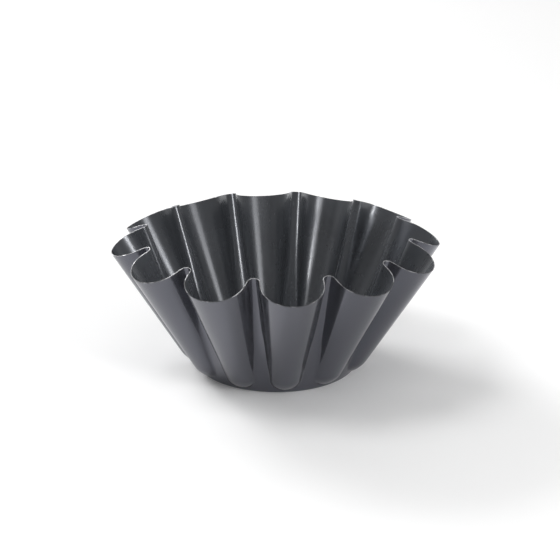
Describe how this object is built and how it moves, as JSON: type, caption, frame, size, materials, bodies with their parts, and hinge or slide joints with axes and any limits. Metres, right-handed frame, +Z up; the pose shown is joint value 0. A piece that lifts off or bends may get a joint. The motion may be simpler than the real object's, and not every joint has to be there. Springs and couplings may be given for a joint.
{
  "type": "brioche mould",
  "caption": "Deep flared baking mould pressed from thin dark-coated sheet steel, with broad outward flutes, narrow folds between them, a wavy cut rim and a flat round base.",
  "frame": {"origin": "centre of the flat underside of the base, on the mould's axis", "axes": "+Z up along the mould's axis, out of its open top; +X from the axis through the crown of one flute"},
  "size_m": [0.22, 0.22, 0.0929],
  "materials": {
    "coated_steel": "satin charcoal non-stick coating on thin sheet steel, inside and out"
  },
  "bodies": {
    "root": {"mould_shell": "coated_steel"}
  },
  "joints": []
}
